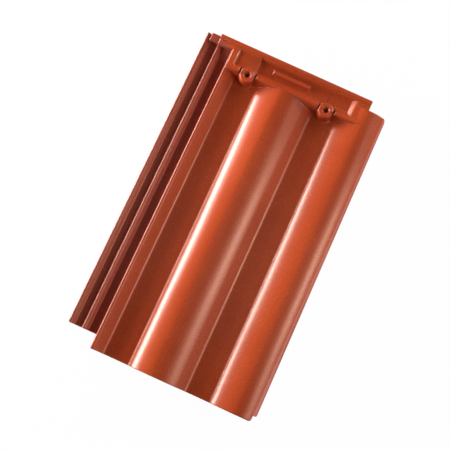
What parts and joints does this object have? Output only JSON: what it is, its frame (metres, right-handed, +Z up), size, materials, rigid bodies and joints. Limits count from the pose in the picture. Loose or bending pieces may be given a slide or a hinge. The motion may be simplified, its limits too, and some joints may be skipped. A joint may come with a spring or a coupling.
{
  "type": "clay roof tile",
  "caption": "Interlocking clay roof tile with two troughs and two rolls, a double side interlock, a recessed head joint with nail bosses, and hanging nibs below.",
  "frame": {"origin": "middle of the tile's plan rectangle, on the level surface that its nibs and foot ribs lie on", "axes": "+X across the tile from the channelled interlock edge to the free edge, +Y up the tile from foot to head, +Z up out of the weather face"},
  "size_m": [0.28, 0.47, 0.037],
  "materials": {
    "fired_clay": "satin red engobe on fired clay"
  },
  "bodies": {
    "root": {"roof_tile": "fired_clay"}
  },
  "joints": []
}
